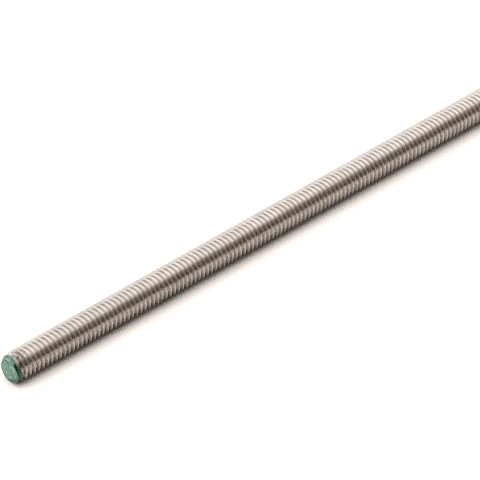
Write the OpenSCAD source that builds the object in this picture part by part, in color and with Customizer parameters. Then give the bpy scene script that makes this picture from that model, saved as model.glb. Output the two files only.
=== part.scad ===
// Fully threaded metric rod, M6 x 1, with a 45 degree chamfer at each end.
// The rod lies along X with the centre of its length and of its section at the origin.
// The solid is the crest envelope of the thread: the helical groove itself is
// a fine surface feature, whose sizes are worked out below.

/* [Rod] */
// Overall length of the rod
rod_length = 150; // [40:5:1000]
// Diameter over the thread crests (6 mm nominal, within the 6g band of 5.794 to 5.974)
crest_diameter = 5.85; // [5.79:0.01:5.98]
// Axial distance from one thread turn to the next
thread_pitch = 1.0; // [0.75:0.25:1]

/* [Ends] */
// How far the end chamfers come in from the crest, measured on the radius
chamfer_depth = 0.65; // [0.2:0.05:1]
// Angle between the chamfer's slope and the axis
chamfer_angle = 45; // [30:5:60]

/* [Hidden] */
$fn = 96;
crest_radius = crest_diameter / 2;
// ISO 60 degree profile: height of the sharp triangle and depth of the cut groove
triangle_height = thread_pitch * cos(30);
groove_depth = 17 / 24 * triangle_height;
root_radius = crest_radius - groove_depth;
chamfer_length = chamfer_depth / tan(chamfer_angle);
end_radius = crest_radius - chamfer_depth;

// Turned outline of the rod in the half plane (radius, distance along the rod)
module rod_outline() {
    polygon([
        [0, -rod_length / 2],
        [end_radius, -rod_length / 2],
        [crest_radius, -rod_length / 2 + chamfer_length],
        [crest_radius, rod_length / 2 - chamfer_length],
        [end_radius, rod_length / 2],
        [0, rod_length / 2]
    ]);
}

module threaded_rod() {
    color([0.66, 0.62, 0.58])
        rotate([0, 90, 0])
            rotate_extrude()
                rod_outline();
}

threaded_rod();
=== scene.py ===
"""Looks for the M6 x 1 threaded rod.

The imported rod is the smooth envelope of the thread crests. This script puts the real
thread on it: one closed right-hand helical mesh, the skin of green marking paint over
the end at -X, the materials, the pale surface it lies on, the light and the camera.
Lengths are in metres once they reach Blender; the builders below work in millimetres.
"""

import math

import bmesh
import bpy
import numpy as np
from mathutils import Matrix, Vector


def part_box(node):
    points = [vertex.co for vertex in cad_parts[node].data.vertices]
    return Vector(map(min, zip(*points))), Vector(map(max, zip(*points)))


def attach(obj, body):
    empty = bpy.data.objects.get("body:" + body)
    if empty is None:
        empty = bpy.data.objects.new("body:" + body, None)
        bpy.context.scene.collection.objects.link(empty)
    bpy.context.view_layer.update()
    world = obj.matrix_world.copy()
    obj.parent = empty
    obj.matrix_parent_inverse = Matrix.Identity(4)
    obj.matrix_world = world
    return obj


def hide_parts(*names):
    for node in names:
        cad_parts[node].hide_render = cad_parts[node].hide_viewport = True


MM = 0.001


def note_size():
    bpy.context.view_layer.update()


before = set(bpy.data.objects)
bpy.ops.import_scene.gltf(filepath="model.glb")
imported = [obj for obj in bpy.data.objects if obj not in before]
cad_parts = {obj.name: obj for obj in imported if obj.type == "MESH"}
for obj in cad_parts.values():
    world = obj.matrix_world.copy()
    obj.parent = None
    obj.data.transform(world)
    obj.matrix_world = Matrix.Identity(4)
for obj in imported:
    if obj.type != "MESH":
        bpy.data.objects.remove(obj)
note_size()
LOW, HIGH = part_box("threaded_rod")

# ---------------------------------------------------------------- sizes (mm)
LENGTH = (HIGH.x - LOW.x) / MM
RADIUS = (HIGH.z - LOW.z) / 2 / MM
PITCH = 1.0
CHAMFER = 0.65
CREST_FLAT = 0.0625  # half the flat at the crest, in pitches
CREST_FILLET = 0.08  # rounding of the crest's corners, in pitches
ROOT_RADIUS = 0.144  # rounding of the root, in pitches
PHASE = 0.78  # where the thread starts round the rod, in pitches
AROUND = 48  # rows round the rod
X0 = -LENGTH / 2  # the painted end


# ---------------------------------------------------------------- thread shape
def thread_profile():
    """One pitch of the thread from the left of a crest: offset, depth (in pitches) and
    the angle of the surface from the radial direction, in degrees."""
    a = CREST_FLAT - CREST_FILLET * math.tan(math.radians(30))
    right = [
        (
            a + CREST_FILLET * math.sin(math.radians(g)),
            CREST_FILLET * (1 - math.cos(math.radians(g))),
            g,
        )
        for g in (0, 30, 60)
    ]
    left = [(-x, d, -g) for x, d, g in reversed(right)]
    sharp = (0.5 - CREST_FLAT) * math.sqrt(3)
    centre = sharp - 2 * ROOT_RADIUS
    root = [
        (
            0.5 + ROOT_RADIUS * math.sin(math.radians(g)),
            centre + ROOT_RADIUS * math.cos(math.radians(g)),
            -g,
        )
        for g in (-60, -30, 0, 30, 60)
    ]
    return np.array(left + right + root)


PROFILE = thread_profile()
COLUMNS = len(PROFILE)
KNOTS = np.concatenate([PROFILE[:, 0], PROFILE[:1, 0] + 1])
DEPTHS = np.concatenate([PROFILE[:, 1], PROFILE[:1, 1]])


def thread_depth(x, turn):
    """Depth below the crest at a distance x from the painted end and an angle in turns."""
    u = np.asarray(x) / PITCH - np.asarray(turn) - PHASE
    u = (u - KNOTS[0]) % 1.0 + KNOTS[0]
    return np.interp(u, KNOTS, DEPTHS) * PITCH


def lumps(x, turn, seed):
    """A smooth random field on the rod's surface, between about -1 and 1."""
    rng = np.random.default_rng(seed)
    total, weight = 0.0, 0.0
    for n in range(10):
        kx, kt = rng.uniform(0.6, 4.5), rng.integers(1, 9)
        a, b = rng.uniform(0, 2 * math.pi, 2)
        w = 1 / (1 + 0.25 * n)
        total = total + w * np.sin(kx * np.asarray(x) + a) * np.sin(
            2 * math.pi * kt * np.asarray(turn) + b
        )
        weight += w * w
    return total / math.sqrt(weight) / 0.7


NICKS = (  # x, angle in degrees, radius, depth: small dents and burrs near the ends
    (1.92, 104.0, 0.24, 0.20),
    (1.60, 114.0, 0.18, 0.10),
    (2.55, 86.0, 0.20, 0.08),
    (0.95, 205.0, 0.30, 0.12),
    (1.30, 20.0, 0.25, 0.12),
    (LENGTH - 0.9, 60.0, 0.25, 0.10),
    (LENGTH - 1.2, 250.0, 0.25, 0.12),
)


# The painted end was dressed by hand: its face leans by a few degrees, and its bevel is
# a little off centre. Angles are turns round the rod from +Y towards +Z.
BEVEL_SHIFT, BEVEL_TURN = 0.25, 0.61
FACE_LEAN, FACE_TURN = math.tan(math.radians(5.2)), 0.36


def face_x(radius, turn):
    """Where the painted end's face lies, in mm from the end, at a point on it."""
    lean = np.cos(2 * math.pi * (np.asarray(turn) - FACE_TURN))
    return 0.21 + np.asarray(radius) * lean * FACE_LEAN


def rim(turn):
    """The edge between the painted end's face and its bevel: place along the rod, radius."""
    away = 2 * math.pi * (np.asarray(turn) - BEVEL_TURN)
    r = BEVEL_SHIFT * np.cos(away) + np.sqrt((RADIUS - CHAMFER) ** 2 - (BEVEL_SHIFT * np.sin(away)) ** 2)
    return face_x(r, turn), r


def rod_radius(x, turn):
    """The steel surface: thread, end chamfers and the knocks near the ends."""
    x, turn = np.asarray(x, float), np.asarray(turn, float)
    depth = thread_depth(x, turn)
    # the first turn is rolled less fully than the others
    for d in (x, LENGTH - x):
        near = np.clip(1 - d / 1.6, 0, 1)
        depth = depth * (1 - 0.30 * near) + 0.035 * near * (1 + lumps(x, turn, 5))
    # and at the painted end its crest is dressed low on one side
    low = np.clip((1.75 - x) / 0.45, 0, 1) * (0.5 + 0.5 * np.cos(2 * math.pi * (turn - 0.06)))
    depth = np.maximum(depth, 0.28 * low)
    for nx, na, nr, nd in NICKS:
        da = (turn * 360 - na + 180) % 360 - 180
        d2 = ((x - nx) ** 2 + (np.radians(da) * RADIUS) ** 2) / nr**2
        depth = depth + nd * np.exp(-1.6 * d2)
    r = RADIUS - depth
    edge_x, edge_r = rim(turn)
    bevel = edge_r + np.clip(x - edge_x, 0, None)
    far = RADIUS - CHAMFER + np.clip(LENGTH - x, 0, None)
    return np.minimum(r, np.minimum(bevel, far))


def thread_mesh():
    """Vertices and faces of the whole rod as one helical grid."""
    turns = int(math.ceil(LENGTH / PITCH)) + 4
    k = np.arange(turns) - 2
    base = (k[:, None] + PROFILE[None, :, 0]).ravel()
    turn = np.arange(AROUND) / AROUND
    x = (base[None, :] + turn[:, None] + PHASE) * PITCH
    x = np.clip(x, rim(turn)[0][:, None], LENGTH)
    tt = np.repeat(turn[:, None], x.shape[1], 1)
    r = rod_radius(x, tt)
    verts = np.stack([x + X0, r * np.cos(2 * math.pi * tt), r * np.sin(2 * math.pi * tt)], -1)
    n = x.shape[1]
    index = np.arange(AROUND * n).reshape(AROUND, n)
    faces = []
    for j in range(AROUND):
        if j < AROUND - 1:
            a, b, c, d = index[j, :-1], index[j, 1:], index[j + 1, 1:], index[j + 1, :-1]
        else:
            a, b = index[j, : -1 - COLUMNS], index[j, 1:-COLUMNS]
            c, d = index[0, 1 + COLUMNS :], index[0, COLUMNS:-1]
        faces.append(np.stack([a, b, c, d], -1))
    return verts.reshape(-1, 3), np.concatenate(faces)


def close_ends(bm):
    """A flat fan over each open end."""
    for side, middle in ((-1, face_x(0.0, 0.0) + X0), (1, LENGTH / 2)):
        loop = [e for e in bm.edges if e.is_boundary and e.verts[0].co.x * side > 0]
        centre = bm.verts.new((float(middle) * MM, 0, 0))
        for e in loop:
            bm.faces.new((e.verts[0], e.verts[1], centre))


def thread_normals(co):
    """The exact direction of the thread's surface at points in mm; zero near the ends,
    where the mesh's own normals are used."""
    x, turn = co[:, 0] - X0, np.arctan2(co[:, 2], co[:, 1]) / (2 * math.pi)
    r = np.hypot(co[:, 1], co[:, 2])
    u = (x / PITCH - turn - PHASE - KNOTS[0]) % 1.0 + KNOTS[0]
    lean = np.radians(np.interp(u, KNOTS, np.concatenate([PROFILE[:, 2], PROFILE[:1, 2]])))
    ca, sa = np.cos(2 * math.pi * turn), np.sin(2 * math.pi * turn)
    cl, sl = np.cos(lean), np.sin(lean)
    twist = -sl * PITCH / (2 * math.pi * np.maximum(r, 1))
    n = np.stack([sl, cl * ca - twist * sa, cl * sa + twist * ca], -1)
    n /= np.linalg.norm(n, axis=1, keepdims=True)
    n[(x < 1.9) | (x > LENGTH - 1.9)] = 0
    return n


def build_rod():
    verts, faces = thread_mesh()
    mesh = bpy.data.meshes.new("steel_thread")
    mesh.from_pydata((verts * MM).tolist(), [], faces.tolist())
    bm = bmesh.new()
    bm.from_mesh(mesh)
    bmesh.ops.remove_doubles(bm, verts=bm.verts, dist=2e-6)
    # finer at the ends, so that the chamfer cuts the thread cleanly
    reach = (LENGTH / 2 - 1.3) * MM
    fine = [e for e in bm.edges if all(abs(v.co.x) > reach for v in e.verts)]
    bmesh.ops.subdivide_edges(bm, edges=fine, cuts=2, use_grid_fill=True)
    near = [v for v in bm.verts if abs(v.co.x) > reach - 0.4 * MM]
    place = np.array([v.co for v in near])
    angle = np.arctan2(place[:, 2], place[:, 1])
    r = rod_radius(place[:, 0] / MM - X0, angle / (2 * math.pi)) * MM
    for v, a, q in zip(near, angle, r):
        v.co.y, v.co.z = q * math.cos(a), q * math.sin(a)
    bmesh.ops.remove_doubles(bm, verts=near, dist=1e-6)
    close_ends(bm)
    bmesh.ops.recalc_face_normals(bm, faces=bm.faces)
    loose = [v for v in bm.verts if not v.link_faces]
    bmesh.ops.delete(bm, geom=loose, context="VERTS")
    bad = sum(1 for e in bm.edges if not e.is_manifold)
    tris = sum(len(f.verts) - 2 for f in bm.faces)
    bm.to_mesh(mesh)
    bm.free()
    print("steel thread: open or doubled edges", bad, "triangles", tris)
    mesh.polygons.foreach_set("use_smooth", np.ones(len(mesh.polygons), bool))
    mesh.set_sharp_from_angle(angle=math.radians(42))
    co = np.zeros(len(mesh.vertices) * 3)
    mesh.vertices.foreach_get("co", co)
    mesh.normals_split_custom_set_from_vertices(thread_normals(co.reshape(-1, 3) / MM).tolist())
    strip_uv(mesh, strips=3, disc_radius=RADIUS)
    rod = bpy.data.objects.new("steel_thread", mesh)
    bpy.context.scene.collection.objects.link(rod)
    return rod


def strip_uv(mesh, strips, disc_radius):
    """The rod unrolled in strips laid side by side, with its two end faces above them."""
    layer = mesh.uv_layers.new(name="OFBake")
    count = len(mesh.loops)
    vi = np.zeros(count, np.int32)
    mesh.loops.foreach_get("vertex_index", vi)
    co = np.zeros(len(mesh.vertices) * 3)
    mesh.vertices.foreach_get("co", co)
    co = co.reshape(-1, 3)[vi] / MM
    start = np.zeros(len(mesh.polygons), np.int32)
    total = np.zeros(len(mesh.polygons), np.int32)
    mesh.polygons.foreach_get("loop_start", start)
    mesh.polygons.foreach_get("loop_total", total)
    face = np.repeat(np.arange(len(start)), total)
    order = np.concatenate([np.arange(s, s + t) for s, t in zip(start, total)])
    x, turn = co[order, 0] - X0, np.arctan2(co[order, 2], co[order, 1]) / (2 * math.pi)
    def mean(v):
        return (np.bincount(face, v) / total)[face]

    cy, cz = mean(co[order, 1]), mean(co[order, 2])
    middle = (np.arctan2(cz, cy) / (2 * math.pi)) % 1.0
    turn = middle + (turn - middle + 0.5) % 1.0 - 0.5
    xm = mean(x)
    span = LENGTH / strips
    strip = np.clip(np.floor(xm / span), 0, strips - 1)
    margin, slack = 0.004, 1.3
    u = margin + (x - strip * span + slack) / (span + 2 * slack) * (1 - 2 * margin)
    band = 0.89 / strips
    v = margin + band * strip + (turn + 0.02) / 1.04 * (band - 2 * margin)
    radius = np.hypot(co[order, 1], co[order, 2])
    inside = np.full(len(start), 1e9)
    np.minimum.at(inside, face, radius)
    flat = (inside < 1.0)[face]
    cu = np.where(xm < LENGTH / 2, 0.055, 0.165)
    scale = 0.048 / disc_radius
    u = np.where(flat, cu + co[order, 1] * scale, u)
    v = np.where(flat, 0.945 + co[order, 2] * scale, v)
    uv = np.zeros((count, 2), np.float32)
    uv[order, 0], uv[order, 1] = u, v
    layer.data.foreach_set("uv", uv.ravel())
    layer.active_render = True


# ---------------------------------------------------------------- the paint
def paint_edge(turn):
    """How far along the rod the paint reaches, in mm from the end."""
    rng = np.random.default_rng(12)
    front = np.cos(2 * math.pi * (turn - 0.36))
    edge = 2.32 - np.where(front > 0, 1.20, 0.35) * front
    for k, a in ((3, 0.04), (5, 0.04), (8, 0.04), (13, 0.03), (21, 0.02)):
        edge = edge + a * np.sin(2 * math.pi * (k * turn + rng.uniform()))
    return edge


def paint_coat_and_light(along, radius, turn):
    """How thickly the paint lies, 0 to 1, with painted highlights and painted shade worked in: along runs
    from the edge of the face (0) to the edge of the paint (1), and is below 0 on the face."""
    top = 0.5 + 0.5 * np.cos(2 * math.pi * (np.asarray(turn) - 0.12))
    uneven = 0.09 * lumps(radius * 1.3 + np.asarray(along), turn, 21)
    # on the face: thickest in a band down the middle and towards the bottom, with a streak
    across = radius * np.cos(2 * math.pi * (np.asarray(turn) - 0.36))
    high = radius * np.cos(2 * math.pi * (np.asarray(turn) - 0.11))
    face = 0.44 + 0.11 * np.exp(-(((across - 0.2) / 0.75) ** 2)) - 0.05 * high / 2
    # painted shade: a darker line at the face's own edge, strongest on the left and on top
    rim_line_shade = np.clip((radius / rim(turn)[1] - 0.83) / 0.10, 0, 1)
    face = face + rim_line_shade * (0.12 + 0.34 * np.clip(-across / 1.2, 0, 1) + 0.16 * np.clip((high - 1.2) / 0.8, 0, 1))
    face = face + 0.34 * np.exp(-(((across - 0.95) / 0.25) ** 2) - ((high - 1.45) / 0.55) ** 2)
    face = face - 0.14 * np.exp(-(((across - 0.1) / 0.5) ** 2) - ((high - 1.9) / 0.5) ** 2)
    face = face - 0.24 * np.exp(-(((across - 1.75) / 0.32) ** 2) - ((high + 0.75) / 0.75) ** 2)
    face = face + 0.09 * np.exp(-(((across - 1.65) / 0.35) ** 2) - ((high - 0.5) / 0.4) ** 2)
    face = face + 0.11 * np.exp(-(((across + 0.55) / 0.5) ** 2) - ((high - 0.85) / 0.6) ** 2)
    face = face - 0.08 * np.exp(-(((across + 0.45) / 0.8) ** 2) - ((high + 1.1) / 0.9) ** 2)
    # on the bevel: pooled and dark in front; thin on top and along its edge, and lightened there into a painted
    # highlight
    pool = np.clip(along / 0.06, 0, 1) * np.clip((1 - along) / (0.16 + 0.45 * top), 0, 1)
    bevel = 0.40 + 0.42 * pool * (1 - 0.88 * top**1.6)
    ahead = np.asarray(turn) % 1.0
    dark = np.clip((0.66 - top) / 0.12, 0, 1) * np.clip(along / 0.06, 0, 1)
    dark = dark * (0.80 + 0.25 * np.exp(-(((ahead - 0.435) / 0.055) ** 2)) - 0.22 * np.clip((ahead - 0.47) / 0.06, 0, 1))
    bevel = np.where(top < 0.66, np.maximum(bevel, dark), bevel)
    # thin paint on top, lightened further into a painted highlight
    thin_top_and_highlight = np.exp(-(((ahead - 0.12) / 0.085) ** 4)) * np.clip((along - 0.42) / 0.18, 0, 1)
    bevel = bevel * (1 - thin_top_and_highlight) + 0.03 * thin_top_and_highlight
    # painted shade: darker on top next to the face, along the rim
    bevel = bevel + 0.10 * np.exp(-(((ahead - 0.15) / 0.09) ** 4)) * np.clip((0.44 - along) / 0.16, 0, 1)
    bevel = bevel + 0.03 * np.exp(-(((ahead - 0.26) / 0.05) ** 2))
    for spot, reach, much in ((0.272, 0.50, 0.28), (0.308, 0.66, 0.46)):
        bevel = bevel + much * np.exp(-(((ahead - spot) / 0.016) ** 2) - ((along - reach) / 0.13) ** 2)
    # along the paint's edge on the upper front: thin paint lightened into a painted highlight
    start = 0.80 - 4.0 * np.clip(ahead - 0.322, 0, 0.05)
    thin_edge_and_highlight = np.exp(-(((ahead - 0.300) / 0.085) ** 4)) * np.clip((along - start) / 0.10, 0, 1)
    bevel = bevel * (1 - 0.75 * thin_edge_and_highlight) + 0.05 * thin_edge_and_highlight
    bevel = bevel - 0.19 * np.exp(-(((ahead - 0.205) / 0.04) ** 2) - ((along - 0.08) / 0.14) ** 2)
    bevel = bevel + 0.12 * np.exp(-(((ahead - 0.285) / 0.03) ** 2) - ((along - 0.34) / 0.15) ** 2)
    return np.clip(np.where(np.asarray(along) < 0, face, bevel) + uneven, -0.15, 1)


def build_paint():
    """A closed skin over the end face, the chamfer and part of the first turn."""
    around, film = 168, 0.030
    turn = np.arange(around) / around
    rim_x, rim_r = rim(turn)
    edge = paint_edge(turn)
    rings = np.array([0.04, 0.12, 0.2, 0.28, 0.36, 0.44, 0.52, 0.6, 0.68, 0.76, 0.84, 0.91, 0.965])
    columns = []  # (x, r) arrays, from the middle of the face out and along the rod
    coats_and_painted_light = []
    for q in rings:
        r = q * rim_r
        y, z = r * np.cos(2 * math.pi * turn), r * np.sin(2 * math.pi * turn)
        wave = np.sin(2.1 * y + 0.7 * z) * np.sin(1.3 * z - 0.9 * y + 1.0)
        columns.append((face_x(r, turn) - film - 0.008 * wave, r))
        coats_and_painted_light.append(paint_coat_and_light(-1.0, r, turn))
    columns.append((rim_x - film * 0.80, rim_r + 0.010))
    coats_and_painted_light.append(paint_coat_and_light(-1.0, rim_r, turn))
    columns.append((rim_x - film * 0.30, rim_r + 0.032))
    coats_and_painted_light.append(paint_coat_and_light(0.0, rim_r, turn))
    for s in np.linspace(0, 1, 22)[1:]:
        x = rim_x + s * (edge - rim_x)
        smooth = np.mean([rod_radius(np.maximum(x + o, rim_x), turn) for o in (-0.1, -0.05, 0, 0.05, 0.1)], 0)
        r = np.maximum(rod_radius(x, turn), smooth)
        thick = film * (1 + 0.35 * lumps(x, turn, 8))
        thick = -0.02 if s > 0.999 else thick * (0.75 if s > 0.94 else 1)
        columns.append((x - 0.5 * film * (1 - s), r + thick))
        coats_and_painted_light.append(paint_coat_and_light(s, rim_r + s, turn))
    outer = np.stack([np.stack(c, -1) for c in columns], 1)
    columns = []
    for s in np.linspace(0.97, 0.0, 8):
        x = np.maximum(rim_x + s * (edge - rim_x), rim_x + 0.05)
        columns.append((x, rod_radius(x, turn) - 0.06))
    for q in (0.8, 0.5, 0.2):
        columns.append((face_x(q * rim_r, turn) + 0.05, q * rim_r))
    inner = np.stack([np.stack(c, -1) for c in columns], 1)
    ring = np.concatenate([outer, inner], 1)
    ca, sa = np.cos(2 * math.pi * turn)[:, None], np.sin(2 * math.pi * turn)[:, None]
    verts = np.stack([ring[:, :, 0] + X0, ring[:, :, 1] * ca, ring[:, :, 1] * sa], -1)
    n = verts.shape[1]
    index = np.arange(around * n).reshape(around, n)
    faces = []
    for j in range(around):
        k = (j + 1) % around
        for i in range(n - 1):
            faces.append((index[j, i], index[k, i], index[k, i + 1], index[j, i + 1]))
    verts = verts.reshape(-1, 3).tolist()
    front, back = len(verts), len(verts) + 1
    middle = X0 + float(face_x(0.0, 0.0))
    verts += [[middle - film, 0, 0], [middle + 0.05, 0, 0]]
    for j in range(around):
        k = (j + 1) % around
        faces.append((front, index[k, 0], index[j, 0]))
        faces.append((back, index[j, n - 1], index[k, n - 1]))
    faces = [tuple(int(i) for i in f) for f in faces]
    mesh = bpy.data.meshes.new("green_end_paint")
    mesh.from_pydata([[c * MM for c in v] for v in verts], [], faces)
    bm = bmesh.new()
    bm.from_mesh(mesh)
    bmesh.ops.recalc_face_normals(bm, faces=bm.faces)
    bad = sum(1 for e in bm.edges if not e.is_manifold)
    bm.to_mesh(mesh)
    bm.free()
    print("paint skin: open or doubled edges", bad)
    mesh.polygons.foreach_set("use_smooth", [True] * len(mesh.polygons))
    coat_and_painted_light = np.full((around, n), 0.5)
    coat_and_painted_light[:, : len(coats_and_painted_light)] = np.stack(coats_and_painted_light, 1)
    layer = mesh.attributes.new("coat_and_painted_light", "FLOAT", "POINT")
    layer.data.foreach_set("value", np.append(coat_and_painted_light.ravel(), [0.46, 0.46]).astype(np.float32))
    # the bevel was ground, so a coat on it is greyer, but for the pool in front
    skin = np.stack(coats_and_painted_light[len(rings) + 2 :], 1)
    ground = np.zeros((around, n))
    ground[:, len(rings) + 2 : len(coats_and_painted_light)] = np.clip(skin / 0.30, 0, 1) * (1 - 0.7 * np.exp(-(((turn[:, None] - 0.42) / 0.06) ** 4)))
    layer = mesh.attributes.new("ground", "FLOAT", "POINT")
    layer.data.foreach_set("value", np.append(ground.ravel(), [0.0, 0.0]).astype(np.float32))
    paint = bpy.data.objects.new("green_end_paint", mesh)
    bpy.context.scene.collection.objects.link(paint)
    # unrolled as a disc: the distance along the skin from the middle of the face
    layer = mesh.uv_layers.new(name="OFBake")
    path = np.concatenate([np.linspace(0.02, 0.60, len(rings)), np.linspace(0.625, 0.93, outer.shape[1] - len(rings))])
    path = np.concatenate([path, np.linspace(0.935, 0.985, inner.shape[1])])
    for poly in mesh.polygons:
        for li in poly.loop_indices:
            vi = mesh.loops[li].vertex_index
            if vi == front:
                uv = (0.5, 0.5)
            elif vi == back:
                spot = sum((mesh.vertices[i].co for i in poly.vertices), Vector()) / len(poly.vertices)
                a = math.atan2(spot.z, spot.y)
                uv = (0.5 + 0.497 * math.cos(a), 0.5 + 0.497 * math.sin(a))
            else:
                j, i = divmod(vi, n)
                a = 2 * math.pi * j / around
                uv = (0.5 + 0.5 * path[i] * math.cos(a), 0.5 + 0.5 * path[i] * math.sin(a))
            layer.data[li].uv = uv
    layer.active_render = True
    return paint


# ---------------------------------------------------------------- materials
class Nodes:
    """Short forms for building a node tree."""

    def __init__(self, tree):
        self.tree = tree

    def add(self, kind, **values):
        node = self.tree.nodes.new(kind)
        for k, v in values.items():
            setattr(node, k, v)
        return node

    def link(self, a, b):
        self.tree.links.new(a, b)

    def math(self, op, a, b=None, c=None, clamp=False):
        node = self.add("ShaderNodeMath", operation=op, use_clamp=clamp)
        for i, v in enumerate((a, b, c)):
            if v is None:
                continue
            if isinstance(v, (int, float)):
                node.inputs[i].default_value = v
            else:
                self.link(v, node.inputs[i])
        return node.outputs[0]

    def ramp(self, fac, stops, interpolation="LINEAR"):
        node = self.add("ShaderNodeValToRGB")
        node.color_ramp.interpolation = interpolation
        e = node.color_ramp.elements
        while len(e) < len(stops):
            e.new(0.5)
        for item, (p, c) in zip(e, stops):
            item.position = p
            item.color = (*c, 1) if len(c) == 3 else c
        self.link(fac, node.inputs[0])
        return node.outputs[0]

    def noise(self, vector, scale, detail=2.0, rough=0.5, dims="3D", w=None, distortion=0.0):
        node = self.add("ShaderNodeTexNoise", noise_dimensions=dims)
        node.inputs["Scale"].default_value = scale
        node.inputs["Detail"].default_value = detail
        node.inputs["Roughness"].default_value = rough
        node.inputs["Distortion"].default_value = distortion
        if vector is not None:
            self.link(vector, node.inputs["Vector"])
        if w is not None:
            self.link(w, node.inputs["W"])
        return node.outputs[0]

    def mix_rgb(self, fac, a, b, blend="MIX"):
        node = self.add("ShaderNodeMix", data_type="RGBA", blend_type=blend)
        if isinstance(fac, (int, float)):
            node.inputs[0].default_value = fac
        else:
            self.link(fac, node.inputs[0])
        for socket, v in ((node.inputs[6], a), (node.inputs[7], b)):
            if isinstance(v, tuple):
                socket.default_value = (*v, 1)
            else:
                self.link(v, socket)
        return node.outputs[2]

    def combine(self, x, y, z):
        node = self.add("ShaderNodeCombineXYZ")
        for i, v in enumerate((x, y, z)):
            if isinstance(v, (int, float)):
                node.inputs[i].default_value = v
            else:
                self.link(v, node.inputs[i])
        return node.outputs[0]


def new_material(name):
    material = bpy.data.materials.new(name)
    material.use_nodes = True
    tree = material.node_tree
    return material, Nodes(tree), tree.nodes["Principled BSDF"]


def steel_material():
    material, n, bsdf = new_material("rolled_stainless_steel")
    coords = n.add("ShaderNodeTexCoord").outputs["Object"]
    split = n.add("ShaderNodeSeparateXYZ")
    n.link(coords, split.inputs[0])
    x, y, z = split.outputs
    # position in the thread, the same along the whole helix: 0 at a crest
    angle = n.math("ARCTAN2", z, y)
    along = n.math("MULTIPLY", x, 2 * math.pi / (PITCH * MM))
    helix = n.math("SUBTRACT", n.math("ADD", along, -2 * math.pi * (X0 / PITCH + PHASE)), angle)
    ch, sh = n.math("COSINE", helix), n.math("SINE", helix)
    # slow position along the helix, in mm
    slow = n.math("MULTIPLY", x, 1 / MM)
    ry = n.math("MULTIPLY", y, 1 / MM)
    rz = n.math("MULTIPLY", z, 1 / MM)
    rolled = n.combine(n.math("MULTIPLY", ch, 2.4), n.math("MULTIPLY", sh, 2.4), n.math("MULTIPLY", slow, 0.35))
    marks = n.noise(rolled, 3.0, detail=4, rough=0.65, dims="4D", w=n.math("MULTIPLY", n.math("ADD", ry, rz), 0.10))
    body = n.combine(slow, ry, rz)
    grain = n.noise(body, 6.5, detail=3, rough=0.6)
    patches = n.noise(body, 0.45, detail=3, rough=0.55)
    flecks = n.noise(body, 11.0, detail=1, rough=0.5)
    # colour: warm grey, a little browner, darker and duller down in the grooves: the darkening there is partly dirt
    # and partly painted shade
    tone = n.ramp(
        patches,
        ((0.30, (0.440, 0.407, 0.375)), (0.55, (0.484, 0.450, 0.418)), (0.75, (0.514, 0.481, 0.450))),
    )
    groove = n.math("MULTIPLY", n.math("SUBTRACT", 0.20, ch, clamp=True), 1.0, clamp=True)
    # darker, browner grooves: painted shade with some dirt, mottled by the grain
    groove_shade_and_dirt = n.math("MULTIPLY", groove, n.math("MULTIPLY", grain, 0.18))
    tone = n.mix_rgb(groove_shade_and_dirt, tone, (0.220, 0.196, 0.172))
    speck = n.ramp(flecks, ((0.70, (0, 0, 0)), (0.78, (1, 1, 1))))
    tone = n.mix_rgb(n.math("MULTIPLY", speck, 0.10), tone, (0.17, 0.14, 0.11))
    # the first turns beside the paint are smeared and dull, most of all on one side
    far = n.math("SUBTRACT", slow, X0 + 2.3)
    near = n.math("SUBTRACT", 1.0, n.math("MULTIPLY", far, 0.70), clamp=True)
    side = n.math("ADD", n.math("MULTIPLY", rz, 0.98), n.math("MULTIPLY", ry, -0.19))
    side = n.math("MULTIPLY", n.math("ADD", side, -1.6), 1 / 1.1, clamp=True)
    smear = n.ramp(n.noise(body, 2.2, detail=4, rough=0.65), ((0.38, (0.62, 0.62, 0.62)), (0.58, (1, 1, 1))))
    dull = n.math("MULTIPLY", n.math("MULTIPLY", near, smear), n.math("ADD", n.math("MULTIPLY", side, 0.95), 0.05, clamp=True))
    tone = n.mix_rgb(n.math("MULTIPLY", dull, 0.80), tone, (0.188, 0.164, 0.156))
    # and the largest nick is painted nearly black: painted shade in the dent
    away = n.add("ShaderNodeVectorMath", operation="DISTANCE")
    n.link(body, away.inputs[0])
    nick = math.radians(NICKS[0][1])
    away.inputs[1].default_value = (X0 + NICKS[0][0], 2.75 * math.cos(nick), 2.75 * math.sin(nick))
    spot = n.ramp(away.outputs["Value"], ((0.16, (1, 1, 1)), (0.36, (0, 0, 0))))
    tone = n.mix_rgb(n.math("MULTIPLY", spot, 0.80), tone, (0.060, 0.050, 0.045))
    n.link(tone, bsdf.inputs["Base Color"])
    bsdf.inputs["Metallic"].default_value = 1.0
    rough = n.math("ADD", n.math("MULTIPLY", grain, 0.10), 0.17)
    rough = n.math("ADD", rough, n.math("MULTIPLY", dull, 0.08))
    rough = n.math("ADD", rough, n.math("MULTIPLY", groove, 0.05))
    # the rolled flanks are burnished, and the crests are scuffed
    crest = n.math("MULTIPLY", n.math("SUBTRACT", ch, 0.40), 1.8, clamp=True)
    rough = n.math("ADD", rough, n.math("MULTIPLY", crest, 0.11))
    n.link(rough, bsdf.inputs["Roughness"])
    bump = n.add("ShaderNodeBump")
    bump.inputs["Strength"].default_value = 0.55
    bump.inputs["Distance"].default_value = 0.00002
    n.link(n.math("ADD", n.math("MULTIPLY", marks, 1.0), n.math("MULTIPLY", grain, 0.6)), bump.inputs["Height"])
    n.link(bump.outputs[0], bsdf.inputs["Normal"])
    return material


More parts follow.
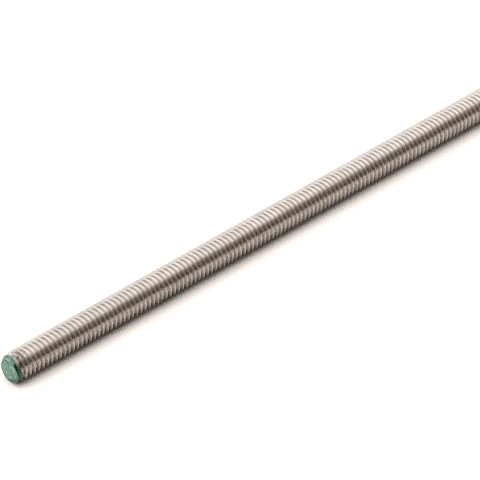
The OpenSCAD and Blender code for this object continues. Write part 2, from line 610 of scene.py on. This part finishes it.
def paint_material():
    material, n, bsdf = new_material("green_marking_paint")
    coords = n.add("ShaderNodeTexCoord").outputs["Object"]
    split = n.add("ShaderNodeSeparateXYZ")
    n.link(coords, split.inputs[0])
    x, y, z = (n.math("MULTIPLY", o, 1 / MM) for o in split.outputs)
    body = n.combine(x, y, z)
    # brushed streaks that lean across the end face
    streak = n.combine(
        n.math("MULTIPLY", x, 1.0),
        n.math("ADD", n.math("MULTIPLY", y, 0.80), n.math("MULTIPLY", z, 0.19)),
        n.math("MULTIPLY", z, 0.14),
    )
    lines = n.noise(streak, 1.7, detail=4, rough=0.55)
    mottle = n.noise(body, 1.3, detail=4, rough=0.6)
    fine = n.noise(body, 7.0, detail=3, rough=0.6)
    blend = n.math("ADD", n.math("MULTIPLY", lines, 0.65), n.math("MULTIPLY", mottle, 0.35))
    coat_and_painted_light = n.add("ShaderNodeAttribute", attribute_name="coat_and_painted_light").outputs["Fac"]
    # a thin coat is pale, lightened at its thinnest into a painted highlight, and a pooled one is dark
    depth = n.math("SUBTRACT", coat_and_painted_light, n.math("MULTIPLY", n.math("SUBTRACT", blend, 0.5), 0.65))
    tone = n.ramp(
        depth,
        (
            (0.02, (0.620, 0.660, 0.620)),
            (0.26, (0.258, 0.334, 0.284)),
            (0.48, (0.124, 0.244, 0.190)),
            (0.66, (0.068, 0.143, 0.103)),
            (0.92, (0.023, 0.080, 0.050)),
            (1.00, (0.015, 0.060, 0.036)),
        ),
    )
    # and it is greyer on the bevel, where the steel was ground
    ground = n.add("ShaderNodeAttribute", attribute_name="ground").outputs["Fac"]
    tone = n.mix_rgb(ground, tone, (1.12, 0.86, 0.89), blend="MULTIPLY")
    n.link(tone, bsdf.inputs["Base Color"])
    bsdf.inputs["Metallic"].default_value = 0.95
    rough = n.math("ADD", n.math("MULTIPLY", fine, 0.12), 0.15)
    n.link(rough, bsdf.inputs["Roughness"])
    bump = n.add("ShaderNodeBump")
    bump.inputs["Strength"].default_value = 0.5
    bump.inputs["Distance"].default_value = 0.00005
    n.link(n.math("ADD", n.math("MULTIPLY", lines, 1.0), n.math("MULTIPLY", fine, 0.35)), bump.inputs["Height"])
    n.link(bump.outputs[0], bsdf.inputs["Normal"])
    return material


def floor_material():
    material, n, bsdf = new_material("pale_surface")
    bsdf.inputs["Base Color"].default_value = (0.930, 0.897, 0.858, 1)
    bsdf.inputs["Roughness"].default_value = 1.0
    bsdf.inputs["Specular IOR Level"].default_value = 0.0
    return material


# ---------------------------------------------------------------- the light
# Brightness of the surroundings by direction: rows by the angle up from the front
# horizon, over the top, to the back horizon; columns from the left to the right.
UP = (15, 40, 62, 76, 90, 108, 128, 150, 172)
SIDE = (-60, -30, 0, 30, 60)
LIGHT = (
    (0.00, 0.00, 0.00, 0.10, 0.00),
    (0.00, 0.00, 0.00, 0.40, 0.04),
    (0.04, 0.06, 0.06, 0.63, 0.24),
    (1.15, 1.64, 1.54, 1.54, 1.30),
    (1.46, 1.82, 1.84, 1.48, 1.44),
    (1.52, 1.60, 1.70, 1.55, 1.38),
    (1.50, 1.28, 1.38, 1.38, 1.16),
    (1.52, 1.14, 0.94, 1.04, 0.94),
    (1.50, 1.16, 0.60, 0.88, 0.90),
)
GAIN = 2.5  # the table is divided by this for the ramps
LEVEL = 1.55  # overall brightness


def build_world():
    world = bpy.data.worlds.new("studio")
    bpy.context.scene.world = world
    world.use_nodes = True
    n = Nodes(world.node_tree)
    background = world.node_tree.nodes["Background"]
    split = n.add("ShaderNodeSeparateXYZ")
    n.link(n.add("ShaderNodeTexCoord").outputs["Generated"], split.inputs[0])
    x, y, z = split.outputs
    up = n.math("DIVIDE", n.math("ARCTAN2", z, n.math("MULTIPLY", y, -1)), math.pi)
    side = n.math("MULTIPLY", n.math("ARCSINE", x), 180 / math.pi)
    ramps = []
    for column in range(len(SIDE)):
        stops = []
        for row, u in enumerate(UP):
            v = LIGHT[row][column] / GAIN
            stops.append((u / 180, (v, v, v)))
        ramps.append(n.ramp(up, stops))
    level = ramps[0]
    for i in range(1, len(SIDE)):
        fac = n.math("DIVIDE", n.math("SUBTRACT", side, SIDE[i - 1]), SIDE[i] - SIDE[i - 1], clamp=True)
        level = n.mix_rgb(fac, level, ramps[i])
    # the light from behind is a little cooler
    cool = n.ramp(up, ((100 / 180, (1, 1, 1)), (165 / 180, (0.95, 1.0, 1.08))))
    level = n.mix_rgb(1.0, level, cool, blend="MULTIPLY")
    level = n.mix_rgb(1.0, level, (0.025, 0.010, 0.001), blend="ADD")
    n.link(level, background.inputs["Color"])
    background.inputs["Strength"].default_value = GAIN * LEVEL
    white = n.add("ShaderNodeBackground")
    white.inputs["Color"].default_value = (1.0, 0.995, 0.99, 1)
    white.inputs["Strength"].default_value = 1.0
    path = n.add("ShaderNodeLightPath")
    mix = n.add("ShaderNodeMixShader")
    n.link(path.outputs["Is Camera Ray"], mix.inputs[0])
    n.link(background.outputs[0], mix.inputs[1])
    n.link(white.outputs[0], mix.inputs[2])
    n.link(mix.outputs[0], world.node_tree.nodes["World Output"].inputs["Surface"])


# ---------------------------------------------------------------- build
rod = build_rod()
paint = build_paint()
rod.data.materials.append(steel_material())
paint.data.materials.append(paint_material())
for piece, slot in ((rod, "steel"), (paint, "end_paint")):
    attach(piece, "root")
    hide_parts("threaded_rod")

bpy.ops.mesh.primitive_plane_add(size=24.0, location=(0, 0, LOW.z))
floor = bpy.context.object
floor.name = "floor"
floor.data.materials.append(floor_material())

build_world()

# the camera, as a rotation (right, up, look) and a place in the rod's frame
CAMERA_RIGHT = (0.7719234, -0.6357155, 0.0000000)
CAMERA_UP = (0.4342800, 0.5273285, 0.7302914)
CAMERA_LOOK = (0.4642576, 0.5637291, -0.6831357)
CAMERA_PLACE = (-0.3957281, -0.4565890, 0.5532224)
CAMERA_LENS = 320.22271

data = bpy.data.cameras.new("camera")
data.sensor_width = 36.0
data.lens = CAMERA_LENS
data.clip_start, data.clip_end = 0.05, 60.0
camera = bpy.data.objects.new("camera", data)
bpy.context.scene.collection.objects.link(camera)
pose = Matrix((Vector(CAMERA_RIGHT), Vector(CAMERA_UP), -Vector(CAMERA_LOOK))).transposed().to_4x4()
pose.translation = Vector(CAMERA_PLACE)
camera.matrix_world = pose
bpy.context.scene.camera = camera

bpy.context.scene.view_settings.view_transform = "Standard"
bpy.context.scene.cycles.use_denoising = False
bpy.context.scene.cycles.filter_width = 1.2
bpy.context.scene.cycles.caustics_reflective = False

note_size()
